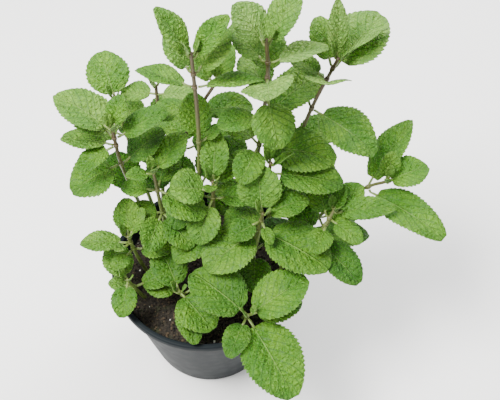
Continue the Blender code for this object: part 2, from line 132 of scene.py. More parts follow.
# Each shoot: stem points in mm from the soil upwards, then its leaf nodes from
# the top down.  A node is its height followed by its leaves, each leaf being
# azimuth, pitch, roll, length, width.
SHOOTS = {
    "a": (
        ((-5, 15, 81), (-3, 24, 150), (-1, 28, 205), (-2, 29, 262)),
        (
            (258, (150, 50, 0, 33, 17), (20, 45, 30, 31, 14)),
            (246, (40, 35, 0, 29, 24), (135, 35, 0, 24, 16)),
            (236, (164, 5, 15, 32, 19), (5, 0, -18, 36, 17)),
            (190, (30, 20, 0, 14, 10), (100, 10, 0, 28, 21)),
            (150, (60, 10, 0, 34, 25), (240, -5, 0, 30, 22), (150, 5, 0, 26, 20)),
        ),
    ),
    "b": (
        ((25, 25, 81), (34, 34, 160), (40, 38, 230), (39, 40, 262)),
        (
            (257, (139, 35, 0, 28, 24), (44, 45, 0, 35, 20)),
            (245, (147, 30, 0, 27, 20), (8, 10, -15, 32, 21)),
            (234, (270, 40, 0, 32, 30), (90, 20, 0, 30, 23)),
            (220, (285, -40, 0, 30, 26), (110, 5, 0, 30, 22)),
            (203, (25, 5, 0, 45, 28), (200, 0, 0, 26, 20)),
            (178, (12, -5, 0, 46, 30), (130, 0, 0, 30, 22), (275, -10, 0, 28, 20)),
        ),
    ),
    "c": (
        ((38, 30, 81), (55, 40, 150), (68, 46, 200), (81, 47, 241)),
        (
            (239, (94, 62, 0, 35, 12), (22, 24, -40, 33, 15)),
            (233, (110, 32, 0, 29, 19), (45, 34, 0, 42, 36)),
            (224, (265, 40, 0, 24, 27), (150, 10, 0, 22, 16)),
            (200, (327, -20, 0, 45, 32), (106, 15, 0, 30, 22)),
            (165, (40, 0, 0, 36, 26), (130, 10, 0, 32, 24), (310, -10, 0, 32, 24)),
        ),
    ),
    "d": (
        ((45, 10, 81), (80, 18, 130), (104, 22, 150), (119, 19, 162)),
        (
            (160, (15, 10, 0, 28, 24), (70, 50, 20, 19, 14)),
            (152, (52, 42, -25, 50, 25), (321, -5, 0, 56, 27)),
            (125, (85, 10, 0, 36, 26), (290, -20, 0, 34, 24), (20, -10, 0, 30, 22)),
        ),
    ),
    "e": (
        ((-35, 20, 81), (-44, 24, 130), (-51, 25, 170), (-52, 24, 206)),
        (
            (204, (69, 45, 0, 21, 14), (150, 12, 0, 40, 26)),
            (197, (138, 12, 0, 36, 28), (22, 15, 0, 33, 19)),
            (190, (215, -15, 0, 24, 16), (183, -5, 0, 32, 24)),
            (172, (210, -15, 0, 32, 32), (30, 15, 0, 31, 24)),
            (140, (120, 10, 0, 32, 24), (300, -10, 0, 24, 18), (40, 5, 0, 26, 20)),
        ),
    ),
    "f": (
        ((-33, 33, 81), (-50, 56, 150), (-58, 70, 186)),
        (
            (184, (110, 25, 0, 33, 28), (290, 30, 0, 16, 10)),
            (160, (170, 10, 0, 32, 24), (20, 5, 0, 26, 20), (90, 0, 0, 30, 22)),
        ),
    ),
    "g": (
        ((-43, 2, 81), (-46, -4, 112), (-48, -8, 139)),
        (
            (137, (94, 30, 0, 24, 18), (39, 35, 0, 20, 11)),
            (130, (183, 0, 0, 29, 16), (215, 20, 0, 10, 8)),
            (121, (355, 0, 0, 22, 17), (250, -10, 0, 16, 12)),
        ),
    ),
    "h": (
        ((-42, -20, 81), (-46, -23, 98), (-50, -25, 114)),
        (
            (112, (94, 30, 0, 27, 20), (263, -20, 0, 23, 17)),
            (102, (15, 5, 0, 24, 17), (170, 0, 0, 14, 11)),
        ),
    ),
    "j": (
        ((28, 0, 81), (34, -2, 120), (38, -4, 159)),
        (
            (157, (99, 25, 0, 30, 28), (18, 5, 0, 29, 20)),
            (150, (213, -10, 0, 20, 17), (290, -10, 0, 15, 8)),
            (140, (217, -15, 0, 40, 34), (328, -8, 0, 48, 37)),
            (112, (80, 0, 0, 34, 25), (270, -5, 0, 28, 22), (180, 0, 0, 30, 22)),
        ),
    ),
    "k": (
        ((45, -5, 81), (60, -5, 115), (75, -4, 138), (84, 4, 153)),
        (
            (151, (56, 50, 0, 18, 10), (354, 5, 20, 38, 15)),
            (147, (109, 25, 0, 24, 20), (312, 0, 0, 24, 15)),
            (143, (45, 20, 0, 34, 23), (250, 0, 0, 22, 16)),
            (134, (312, -15, 0, 38, 24), (15, -10, 0, 36, 22), (120, 5, 0, 30, 22)),
        ),
    ),
    "l": (
        ((25, -35, 81), (27, -45, 101), (29, -55, 121)),
        (
            (119, (142, 20, 0, 44, 34), (27, 15, 0, 42, 30)),
            (111, (301, -20, 0, 55, 38), (250, 0, 0, 28, 17), (20, -5, 0, 34, 26)),
        ),
    ),
    "m": (
        ((-12, -22, 81), (-14, -27, 96), (-16, -32, 111)),
        (
            (109, (115, 30, 0, 34, 24), (311, -12, 0, 32, 29)),
            (100, (160, 5, 0, 24, 18), (285, -10, 0, 34, 18), (30, 5, 0, 26, 20)),
        ),
    ),
    "n": (
        ((-22, 5, 81), (-27, 10, 140), (-30, 16, 176)),
        (
            (174, (56, 10, 0, 32, 20), (200, 10, 0, 16, 11)),
            (160, (330, -15, 0, 32, 25), (173, -5, 0, 20, 16), (80, 5, 0, 30, 22)),
            (140, (310, -20, 0, 28, 21), (178, -22, 0, 26, 20), (240, -10, 0, 26, 20)),
        ),
    ),
    "q": (
        ((5, 8, 81), (6, 9, 125), (7, 10, 173)),
        (
            (171, (85, 35, 0, 31, 18), (260, 30, 0, 14, 9)),
            (164, (32, 10, 0, 42, 26), (185, 10, 0, 24, 28)),
            (156, (0, 0, 0, 24, 18), (125, 10, 0, 30, 22), (250, -10, 0, 28, 22)),
            (130, (50, 0, 0, 34, 25), (230, -10, 0, 34, 25),
             (310, -5, 0, 28, 22), (140, 0, 0, 30, 22)),
        ),
    ),
    "r": (
        ((30, 15, 81), (36, 17, 130), (43, 20, 179)),
        (
            (177, (95, 60, 0, 21, 8), (350, 42, 0, 21, 8)),
            (170, (350, -5, 0, 44, 29), (160, 5, 0, 24, 18)),
            (140, (40, 0, 0, 38, 27), (255, -15, 0, 30, 22), (130, 0, 0, 30, 22)),
        ),
    ),
    "s": (
        ((-20, 38, 81), (-12, 48, 170), (11, 50, 221)),
        (
            (217, (53, 45, 0, 25, 16), (150, 30, 0, 22, 14)),
            (195, (8, -5, 0, 32, 24), (195, 0, 0, 26, 20)),
            (160, (100, 5, 0, 34, 26), (190, -5, 0, 26, 20), (20, 0, 0, 30, 22)),
        ),
    ),
    "t": (
        ((-33, 42, 81), (-31, 66, 150), (-31, 75, 191)),
        (
            (184, (172, 5, 0, 23, 18), (350, 5, 0, 24, 18)),
            (152, (80, 15, 0, 30, 23), (215, -10, 0, 20, 15), (160, 0, 0, 28, 21)),
        ),
    ),
}

# Small unopened leaves at the growing point: azimuth offset, pitch, length, width.
BUD_LEAVES = ((60, 68, 11, 6), (240, 62, 9, 5))

# Ways a leaf may turn aside to grow clear of its neighbours, mildest first.
TURNS = sorted(
    (
        (pitch, azimuth, roll)
        for pitch in (0, 8, -8, 16, -16, 25, -25, 35, -35)
        for azimuth in (0, 8, -8, 16, -16, 26, -26, 38, -38)
        for roll in (0, 15, -15, 30, -30)
    ),
    key=lambda t: (abs(t[0]) + abs(t[1]) + 0.6 * abs(t[2]), t),
)
SHRINKS = (1.0, 0.88, 0.76, 0.64, 0.52)


# ---------------------------------------------------------------- outlines
def tube_faces(rows, columns):
    """Quads round a tube of equal rings, with a cap on each end."""
    faces = []
    for r in range(rows - 1):
        low = r * columns
        high = low + columns
        for c in range(columns):
            d = (c + 1) % columns
            faces.append((low + c, low + d, high + d, high + c))
    faces.append(tuple(reversed(range(columns))))
    faces.append(tuple((rows - 1) * columns + i for i in range(columns)))
    return faces


def hoop_faces(turns, count):
    """Quads of a closed outline of `count` points carried round in `turns`."""
    faces = []
    for i in range(turns):
        a = i * count
        b = (i + 1) % turns * count
        for k in range(count):
            n = (k + 1) % count
            faces.append((a + k, b + k, b + n, a + n))
    return faces


def loft(rings):
    """Join closed rings of equal count into one capped solid."""
    points = [tuple(p) for ring in rings for p in ring]
    return points, tube_faces(len(rings), len(rings[0]))


def revolve(profile, sides):
    """Turn a closed (radius, height) outline about the Z axis."""
    points = []
    for i in range(sides):
        turn = 2 * math.pi * i / sides
        points += [(r * math.cos(turn), r * math.sin(turn), z) for r, z in profile]
    return points, hoop_faces(sides, len(profile))


def cross_axes(axis):
    """Two unit directions square to an axis and to each other."""
    side = axis.cross(Vector((0, 1, 0))).normalized()
    return side, axis.cross(side)


def circle(centre, axis, radius, sides):
    """Ring of points square to an axis."""
    side, other = cross_axes(Vector(axis).normalized())
    ring = []
    for i in range(sides):
        turn = 2 * math.pi * i / sides
        ring.append(Vector(centre) + radius * (math.cos(turn) * side + math.sin(turn) * other))
    return ring


def level_way(azimuth):
    """Level unit direction at an azimuth in degrees."""
    turn = math.radians(azimuth)
    return Vector((math.cos(turn), math.sin(turn), 0))


def outer_radius(height):
    """Outside radius of the tapered wall at a height, in mm."""
    top = RIM_RADIUS - LIP_OVERHANG
    return BASE_RADIUS + (top - BASE_RADIUS) * height / POT_HEIGHT


def soil_height(x, y):
    """Gently uneven soil surface, highest near the middle."""
    reach = math.hypot(x, y) / RIM_RADIUS
    swell = SOIL_CROWN * (1 - reach * reach)
    lumps = 0.5 * math.sin(0.21 * x + 1.0) * math.cos(0.17 * y)
    lumps += 0.3 * math.sin(0.33 * y + 0.4 * x)
    return SOIL_TOP + swell + lumps


# ---------------------------------------------------------------- stems
def stem_path(marks):
    """Smooth line through the marks, with a straight root below the soil."""
    marks = [Vector(m) for m in marks]
    first = (marks[1] - marks[0]).normalized()
    root = marks[0] - STEM_ROOT * first
    line = [root]
    padded = [marks[0] * 2 - marks[1]] + marks + [marks[-1] * 2 - marks[-2]]
    for k in range(1, len(padded) - 2):
        p0, p1, p2, p3 = padded[k - 1:k + 3]
        for step in range(3):
            t = step / 3
            line.append(
                0.5 * (2 * p1 + (p2 - p0) * t + (2 * p0 - 5 * p1 + 4 * p2 - p3) * t * t
                       + (3 * p1 - p0 - 3 * p2 + p3) * t ** 3)
            )
    line.append(marks[-1])
    return line


def stem_share(path, height):
    """0 at a stem's root, 1 at its tip."""
    return (height - path[0].z) / (path[-1].z - path[0].z)


def stem_radius(share):
    return STEM_RADIUS + (STEM_TIP_RADIUS - STEM_RADIUS) * share


def stem_at(path, height):
    """Point, direction and radius of a stem at a height."""
    for low, high in zip(path, path[1:]):
        if high.z >= height:
            break
    t = (height - low.z) / (high.z - low.z)
    radius = stem_radius(stem_share(path, height))
    return low.lerp(high, t), (high - low).normalized(), radius


def stem_solid(path):
    """Coarse stem along its path."""
    rings = []
    for k, centre in enumerate(path):
        ahead = path[min(k + 1, len(path) - 1)] - path[max(k - 1, 0)]
        radius = stem_radius(stem_share(path, centre.z))
        rings.append(circle(centre, ahead, radius, STEM_SIDES))
    return loft(rings)


def collar_solid(path, height):
    """Swollen ring that sits round the stem with a small gap."""
    centre, axis, radius = stem_at(path, height)
    scale = 1 / math.cos(math.pi / COLLAR_SIDES)
    bore = (radius + GAP + 0.05) * scale
    rim = bore + COLLAR_WALL
    half = 0.5 * COLLAR_HEIGHT * axis
    inner = [circle(centre + k * half, axis, bore, COLLAR_SIDES) for k in (-1, 1)]
    outer = [circle(centre + k * half, axis, rim, COLLAR_SIDES) for k in (-1, 1)]
    points = inner[0] + outer[0] + outer[1] + inner[1]
    n = COLLAR_SIDES
    faces = []
    for band in range(4):
        a = band * n
        b = (band + 1) % 4 * n
        for i in range(n):
            j = (i + 1) % n
            faces.append((a + i, a + j, b + j, b + i))
    return [tuple(p) for p in points], faces


# ---------------------------------------------------------------- leaves
def blade_half_width(u):
    """Half width over full width along the blade: broad low down, blunt tip."""
    return 0.5 * math.sin(math.pi * (0.04 + 0.935 * u) ** 0.86) ** 0.62


def coarse_rows(length):
    """How many rows a coarse blade of this length has."""
    return 7 if length > 26 else 6 if length > 16 else 4


def leaf_frame(seat, out, leaf, rows):
    """Centre line of a leaf with its side and face directions and half widths.

    seat is the point on the collar or stem, out the level outward direction.
    """
    azimuth, pitch, roll, length, width = leaf
    level = level_way(azimuth)
    side = Vector((-level.y, level.x, 0))
    droop = math.radians(LEAF_DROOP)
    petiole = 0.07 * length + 1.0
    blade = length - petiole
    start = seat + out * 1.8
    lift = math.radians(pitch) + droop / 2
    rows_out = []
    spin = math.radians(roll)
    where = start.copy()
    steps = rows - 1
    lead = level * math.cos(lift) + Vector((0, 0, 1)) * math.sin(lift)
    where += lead * petiole
    for k in range(rows):
        u = k / steps
        angle = lift - droop * u
        ahead = level * math.cos(angle) + Vector((0, 0, 1)) * math.sin(angle)
        up = ahead.cross(side) * -1
        if up.z < 0 and abs(angle) < math.pi / 2:
            up = -up
        turned_side = side * math.cos(spin) + up * math.sin(spin)
        turned_up = up * math.cos(spin) - side * math.sin(spin)
        half = max(width * blade_half_width(u), 0.9 * PETIOLE_RADIUS)
        rows_out.append((where.copy(), turned_side, turned_up, half))
        where += ahead * blade / steps
    return start, lead, rows_out


def leaf_solid(seat, out, leaf, grow=0.0):
    """Thin folded blade on a short stalk; grow fattens it all round."""
    start, _, frame = leaf_frame(seat, out, leaf, coarse_rows(leaf[3]))
    side = Vector((-out.y, out.x, 0)).normalized()
    up = out.cross(side)
    fold = math.tan(math.radians(LEAF_FOLD))
    stalk = PETIOLE_RADIUS * 0.8
    thick = LEAF_THICKNESS / 2
    rings = []
    if grow == 0.0:
        rings.append(section(seat, side, up, PETIOLE_RADIUS, stalk, 0, 0))
    rings.append(section(start, side, up, PETIOLE_RADIUS, stalk, 0, grow))
    for k, (centre, across, face, half) in enumerate(frame):
        blend = thick if k else stalk
        rings.append(section(centre, across, face, half, blend, fold if k else 0, grow))
    return loft(rings)


def section(centre, across, face, half, thick, fold, grow):
    """Points round a folded strip that thins to a fine edge on both sides.

    With grow the strip is fattened all round and its edges become blunt.
    """
    lift = face * (half * fold)
    left = centre - across * (half + grow) + lift
    right = centre + across * (half + grow) + lift
    above = centre + face * (thick + grow)
    below = centre - face * (thick + grow)
    if grow == 0.0:
        return [left, above, right, below]
    blunt = face * grow
    return [left + blunt, above, right + blunt, right - blunt, below, left - blunt]


def seat_for(path, height, azimuth, free):
    """Where a leaf stalk starts: in the collar wall, or inside the stem."""
    centre, axis, radius = stem_at(path, height)
    level = level_way(azimuth)
    out = (level - axis * level.dot(axis)).normalized()
    reach = radius + GAP + 0.05 + COLLAR_WALL * 0.5 if free else 0.2
    return centre + out * reach, out


class Room:
    """Everything already placed, for testing whether a new leaf grows clear."""

    def __init__(self):
        self.solids = []
        self.trees = {}

    def add(self, solid, owner=None):
        self.solids.append((owner, solid))
        self.trees = {}

    def tree(self, skip):
        """Search tree of all solids but those of one owner."""
        if skip not in self.trees:
            points = []
            faces = []
            for owner, (solid_points, solid_faces) in self.solids:
                if owner is None or owner != skip:
                    base = len(points)
                    points += [tuple(p) for p in solid_points]
                    faces += [tuple(base + i for i in face) for face in solid_faces]
            self.trees[skip] = BVHTree.FromPolygons(points, faces)
        return self.trees[skip]

    def blocked(self, solid, skip):
        points, faces = solid
        shape = BVHTree.FromPolygons([tuple(p) for p in points], faces)
        return bool(self.tree(skip).overlap(shape))


def settle(room, path, height, leaf, owner):
    """Turn or shrink a leaf as little as needed until it is clear.

    A leaf with an owner grows straight from that shoot's stem, one without
    grows from a collar of its own.
    """
    free = owner is None
    azimuth, pitch, roll, length, width = leaf
    for shrink in SHRINKS:
        for d_pitch, d_azimuth, d_roll in TURNS:
            tried = (azimuth + d_azimuth, pitch + d_pitch, roll + d_roll,
                     length * shrink, width * shrink)
            seat, out = seat_for(path, height, tried[0], free)
            if not room.blocked(leaf_solid(seat, out, tried, CLEARANCE), owner):
                room.add(leaf_solid(seat, out, tried), owner)
                return tried
    raise ValueError("no clear space for a leaf at height %s" % height)


def grow_leaves(stems):
    """Settle every leaf from the top of the plant down."""
    room = Room()
    depth = POT_HEIGHT - 1
    room.add(revolve([(RIM_RADIUS + 0.3, depth - 9), (RIM_RADIUS + 0.3, depth + 1.3),
                      (outer_radius(depth) - WALL - 0.3, depth + 1.3),
                      (outer_radius(depth - 9) - WALL - 0.3, depth - 9)], 32))
    ground = circle((0, 0, SOIL_TOP + SOIL_CROWN + 1.0), (0, 0, 1), RIM_RADIUS - 5, 32)
    room.add((ground, [tuple(range(32))]))
    for key, path in stems.items():
        room.add(stem_solid(path), key)
    jobs = []
    for key, (marks, nodes) in SHOOTS.items():
        for rank, node in enumerate(nodes):
            if rank:
                room.add(collar_solid(stems[key], node[0]))
            for slot, leaf in enumerate(node[1:]):
                jobs.append((-node[0], key, rank, slot, leaf))
    placed = {}
    for key, (marks, nodes) in SHOOTS.items():
        top = stems[key][-1].z - 1.0
        for slot, (turn, pitch, length, width) in enumerate(BUD_LEAVES):
            leaf = (nodes[0][1][0] + turn, pitch, 0, length, width)
            placed[key, "bud", slot] = settle(room, stems[key], top, leaf, key)
    for low, key, rank, slot, leaf in sorted(jobs):
        owner = None if rank else key
        placed[key, rank, slot] = settle(room, stems[key], -low, leaf, owner)
    return placed


# ---------------------------------------------------------------- shading helpers
class Shader:
    """Small helper for building one material's node tree."""

    def __init__(self, name, roughness, specular=0.5):
        self.material = bpy.data.materials.new(name)
        self.material.use_nodes = True
        self.nodes = self.material.node_tree.nodes
        self.links = self.material.node_tree.links
        self.surface = self.nodes["Principled BSDF"]
        self.surface.inputs["Roughness"].default_value = roughness
        self.surface.inputs["Specular IOR Level"].default_value = specular

    def node(self, kind, **settings):
        made = self.nodes.new(kind)
        for key, value in settings.items():
            setattr(made, key, value)
        return made

    def put(self, socket, value):
        """Link an output, or set a plain value."""
        if isinstance(value, bpy.types.NodeSocket):
            self.links.new(value, socket)
        else:
            socket.default_value = value

    def feed(self, name, value):
        """Link or set one input of the surface shader."""
        self.put(self.surface.inputs[name], value)

    def math(self, operation, a, b=0.0, c=0.0):
        made = self.node("ShaderNodeMath", operation=operation)
        for socket, value in zip(made.inputs, (a, b, c)):
            self.put(socket, value)
        return made.outputs[0]

    def mapped(self, value, low, high, start=0.0, end=1.0, smooth=True):
        made = self.node("ShaderNodeMapRange")
        made.interpolation_type = "SMOOTHSTEP" if smooth else "LINEAR"
        for socket, item in zip(made.inputs, (value, low, high, start, end)):
            self.put(socket, item)
        return made.outputs[0]

    def mix(self, share, a, b, blend="MIX"):
        made = self.node("ShaderNodeMix", data_type="RGBA", blend_type=blend)
        self.put(made.inputs[0], share)
        for socket, value in ((made.inputs[6], a), (made.inputs[7], b)):
            self.put(socket, value if isinstance(value, bpy.types.NodeSocket) else (*value, 1.0))
        return made.outputs[2]

    def noise(self, place, scale, detail=3.0, rough=0.5):
        made = self.node("ShaderNodeTexNoise")
        self.put(made.inputs["Vector"], place)
        made.inputs["Scale"].default_value = scale
        made.inputs["Detail"].default_value = detail
        made.inputs["Roughness"].default_value = rough
        return made.outputs[0]

    def edges(self, place, scale):
        made = self.node("ShaderNodeTexVoronoi", feature="DISTANCE_TO_EDGE")
        self.put(made.inputs["Vector"], place)
        made.inputs["Scale"].default_value = scale
        return made.outputs[0]

    def bump(self, height, distance, strength=1.0, under=None):
        made = self.node("ShaderNodeBump")
        made.inputs["Strength"].default_value = strength
        made.inputs["Distance"].default_value = distance
        self.put(made.inputs["Height"], height)
        if under:
            self.put(made.inputs["Normal"], under)
        return made.outputs[0]

    def place(self):
        return self.node("ShaderNodeTexCoord").outputs["Object"]

    def attribute(self, name):
        return self.node("ShaderNodeAttribute", attribute_name=name).outputs["Fac"]


def leaf_material():
    """Green blade: pale ribs, quilted cells with painted shade in the sunken veins and cell net,
    tone set leaf by leaf.
    """
    s = Shader("leaf_blade", 0.56, 0.20)
    along = s.attribute("along")
    across = s.attribute("across")
    tone = s.attribute("tone")
    under = s.attribute("under")
    place = s.place()
    wobble = s.math("MULTIPLY", s.math("SUBTRACT", s.noise(place, 190.0), 0.5), 0.30)
    side = s.math("ABSOLUTE", across)
    sweep = s.math("SUBTRACT", s.math("MULTIPLY", along, VEINS),
                   s.math("MULTIPLY", side, VEIN_SWEEP))
    step = s.math("PINGPONG", s.math("ADD", sweep, wobble), 0.5)
    rib = s.mapped(side, 0.006, 0.040, 1.0, 0.0)
    fading = s.mapped(along, 0.25, 0.95, 0.55, 0.12)
    vein = s.mapped(step, 0.0, 0.060, 1.0, 0.0)
    drift = s.node("ShaderNodeVectorMath", operation="ADD")
    s.put(drift.inputs[0], place)
    warp = s.node("ShaderNodeVectorMath", operation="SCALE")
    ripple = s.node("ShaderNodeTexNoise")
    s.put(ripple.inputs["Vector"], place)
    ripple.inputs["Scale"].default_value = 260.0
    s.put(warp.inputs[0], ripple.outputs["Color"])
    warp.inputs["Scale"].default_value = 0.0035
    s.put(drift.inputs[1], warp.outputs[0])
    cell = s.edges(drift.outputs[0], 300.0)
    net = s.mapped(cell, 0.0, 0.15, 1.0, 0.0)
    patches = s.mapped(s.noise(place, 60.0, 4.0), 0.35, 0.68)
    deep = s.mix(patches, (0.017, 0.066, 0.006), (0.043, 0.122, 0.010))
    fresh = s.mix(patches, (0.052, 0.148, 0.010), (0.108, 0.236, 0.016))
    pale = s.mix(patches, (0.108, 0.215, 0.036), (0.180, 0.305, 0.060))
    low = s.mix(s.mapped(tone, 0.0, 0.5, smooth=False), deep, fresh)
    body = s.mix(s.mapped(tone, 0.5, 1.0, smooth=False), low, pale)
    # painted shade: the green is darkened along the sunken side veins, as if the creases lay in
    # shadow
    vein_shaded = s.mix(s.mapped(step, 0.0, 0.15, 0.72, 0.0), body, (0.014, 0.056, 0.004))
    # painted shade: darker lines along the sunken net between the puffed cells
    net_shaded = s.mix(s.math("MULTIPLY", net, 0.46), vein_shaded, (0.016, 0.062, 0.005))
    spine = s.mix(s.math("MULTIPLY", rib, fading), net_shaded, (0.200, 0.340, 0.075))
    margin = s.mix(s.mapped(side, 0.94, 1.0, 0.0, 0.30), spine, (0.140, 0.275, 0.045))
    lines = s.math("MAXIMUM", rib, vein)
    back = s.mix(s.math("MULTIPLY", lines, 0.6), (0.120, 0.205, 0.060), (0.250, 0.360, 0.120))
    s.feed("Base Color", s.mix(under, margin, back))
    rough = s.mapped(s.noise(place, 300.0), 0.3, 0.7, 0.50, 0.66)
    s.feed("Roughness", rough)
    s.feed("Subsurface Weight", 0.10)
    s.feed("Subsurface Scale", 0.003)
    s.feed("Subsurface Radius", (0.4, 0.8, 0.1))
    puffed = s.math("MULTIPLY", s.mapped(cell, 0.0, 0.40), s.mapped(step, 0.0, 0.22))
    relief = s.math("SUBTRACT", puffed, s.math("MULTIPLY", rib, 0.9))
    coarse = s.bump(relief, 0.0016, 0.75)
    fine = s.bump(s.noise(place, 1300.0, 4.0), 0.0001, 0.4, coarse)
    s.feed("Normal", fine)
    return s.material


def stem_material():
    """Olive stems, flushed purple-brown toward the top, finely streaked."""
    s = Shader("stem_skin", 0.45, 0.45)
    place = s.place()
    age = s.attribute("tone")
    grain = s.noise(place, 420.0, 4.0)
    green = s.mix(grain, (0.085, 0.140, 0.022), (0.150, 0.215, 0.042))
    flush = s.mix(grain, (0.040, 0.018, 0.014), (0.085, 0.042, 0.028))
    share = s.math("MULTIPLY", s.mapped(age, 0.35, 0.85), 0.85)
    s.feed("Base Color", s.mix(share, green, flush))
    s.feed("Normal", s.bump(s.noise(place, 900.0, 3.0), 0.0002, 0.6))
    return s.material


def pot_material():
    """Dark blue-grey moulded plastic with a faint satin grain and dust."""
    s = Shader("pot_plastic_grain", 0.45, 0.05)
    place = s.place()
    dust = s.mapped(s.noise(place, 60.0, 6.0, 0.65), 0.40, 0.80)
    base = s.mix(s.math("MULTIPLY", dust, 0.05), (0.009, 0.012, 0.014), (0.030, 0.035, 0.037))
    s.feed("Base Color", base)
    satin = s.mapped(s.noise(place, 120.0, 5.0), 0.3, 0.7, 0.44, 0.50)
    s.feed("Roughness", satin)
    s.feed("Normal", s.bump(s.noise(place, 1400.0, 3.0), 0.0001, 0.12))
    return s.material


def soil_material():
    """Dark moist potting mix with brown and greenish crumbs."""
    s = Shader("soil_crumb", 0.92, 0.3)
    place = s.place()
    tone = s.attribute("tone")
    grain = s.noise(place, 520.0, 6.0, 0.7)
    dark = s.mix(s.mapped(grain, 0.35, 0.7), (0.007, 0.006, 0.005), (0.038, 0.030, 0.020))
    damp = s.mapped(s.noise(place, 120.0, 4.0), 0.5, 0.7, 0.0, 0.5)
    moss = s.mix(damp, dark, (0.034, 0.046, 0.016))
    brown = s.mix(s.mapped(tone, 0.55, 0.8), moss, (0.060, 0.042, 0.024))
    pale = s.mix(s.mapped(tone, 0.93, 0.97), brown, (0.62, 0.60, 0.55))
    s.feed("Base Color", pale)
    s.feed("Normal", s.bump(grain, 0.0012, 0.9))
    return s.material


# ---------------------------------------------------------------- mesh helpers
class Piece:
    """Collects quads with per-point values, then makes one object."""

    def __init__(self, name):
        self.name = name
        self.points = []
        self.faces = []
        self.values = {"along": [], "across": [], "tone": [], "under": []}
        self.slots = []
        self.total = 0

    def add(self, points, faces, slot, along=0.0, across=0.0, tone=0.5, under=0.0):
        points = np.asarray(points, float)
        count = len(points)
        self.points.append(points)
        self.faces += [tuple(self.total + i for i in face) for face in faces]
        self.slots += [slot] * len(faces)
        self.total += count
        given = {"along": along, "across": across, "tone": tone, "under": under}
        for key, value in given.items():
            self.values[key].append(np.broadcast_to(np.asarray(value, float), (count,)))

    def make(self, materials, slot_name, nodes):
        mesh = bpy.data.meshes.new(self.name)
        mesh.from_pydata((np.concatenate(self.points) * MM).tolist(), [], self.faces)
        for key, parts in self.values.items():
            values = mesh.attributes.new(key, "FLOAT", "POINT")
            values.data.foreach_set("value", np.concatenate(parts))
        for item in materials:
            mesh.materials.append(item)
        mesh.polygons.foreach_set("material_index", self.slots)
        mesh.polygons.foreach_set("use_smooth", [True] * len(self.faces))
        mesh.update()
        made = bpy.data.objects.new(self.name, mesh)
        bpy.context.scene.collection.objects.link(made)
        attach(made, "root")
        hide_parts(*nodes)
        return made


def along_line(values, steps):
    """Smoothly interpolate rows of values at fractional steps."""
    values = np.asarray(values, float)
    padded = np.vstack([2 * values[0] - values[1], values, 2 * values[-1] - values[-2]])
    k = np.minimum(steps.astype(int), len(values) - 2)
    t = (steps - k)[:, None]
    p0, p1, p2, p3 = (padded[k + i] for i in range(4))
    return 0.5 * (2 * p1 + (p2 - p0) * t + (2 * p0 - 5 * p1 + 4 * p2 - p3) * t ** 2
                  + (3 * p1 - p0 - 3 * p2 + p3) * t ** 3)


# ---------------------------------------------------------------- fine plant
def blade_reach(u, v, half, length):
    """Sideways reach of every point of a blade, with teeth along its edges."""
    teeth = max(5, round(length / TOOTH_PITCH))
    phase = (u * teeth) % 1.0
    tooth = (phase ** 0.6 - 0.55) * TOOTH_DEPTH * np.clip(np.sin(np.pi * u) * 3, 0, 1)
    edge = np.abs(v)[None, :] > 0.95
    return half[:, None] * (v[None, :] * (1 + tooth[:, None] * edge))


def blade_height(u, v, half, length, seed):
    """Rise of every point of a blade: fold, quilting, rib gutter, wave, curl."""
    side = np.abs(v)
    sweep = u[:, None] * VEINS - side[None, :] * VEIN_SWEEP + 0.15 * np.sin(seed + 5 * v[None, :])
    cell = 1 - 2 * np.abs((sweep % 1.0) - 0.5)
    puff = np.clip(cell * 1.8, 0, 1) ** 0.7 * np.clip(side * 4, 0, 1)[None, :]
    puff *= 0.78 + 0.22 * np.sin(2 * np.pi * (3.2 * side[None, :] + 4.0 * sweep) + seed)
    puff *= (1 - side ** 5)[None, :] * np.clip(np.sin(np.pi * u) * 2.2, 0, 1)[:, None]
    gutter = -0.35 * np.exp(-(side / 0.10) ** 2)[None, :] * np.sin(np.pi * u)[:, None]
    ripple = np.sin(2.6 * np.pi * u + seed)[:, None]
    wave = 0.70 * side[None, :] ** 2 * ripple * np.sign(v)[None, :]
    curl = -0.10 * half[:, None] * side[None, :] ** 4
    fold = math.tan(math.radians(LEAF_FOLD)) * half[:, None] * side[None, :] ** 1.15
    strength = min(1.0, length / FULL_RELIEF_LENGTH)
    return fold + strength * (QUILT * (puff - 0.45) + gutter + wave) + curl


def fine_stalk(piece, seat, out, start, lead, first):
    """Rounded stalk from its seat to just inside the first row of the blade."""
    level = Vector((-out.y, out.x, 0)).normalized()
    upright = out.cross(level)
    foot, across, face, _ = first
    stations = (
        (seat, level, upright),
        (start, level, upright),
        (start.lerp(foot, 0.5), across, face),
        (foot + lead * 0.8, across, face),
    )
    wide, deep = STALK_SIZE
    points = []
    for middle, way, up in stations:
        for turn in np.linspace(0, 2 * np.pi, STALK_SIDES, endpoint=False):
            points.append(middle + way * (wide * math.cos(turn)) + up * (deep * math.sin(turn)))
    faces = tube_faces(len(stations), STALK_SIDES)
    piece.add([tuple(q) for q in points], faces, STEM_LOOK, tone=STALK_TONE)


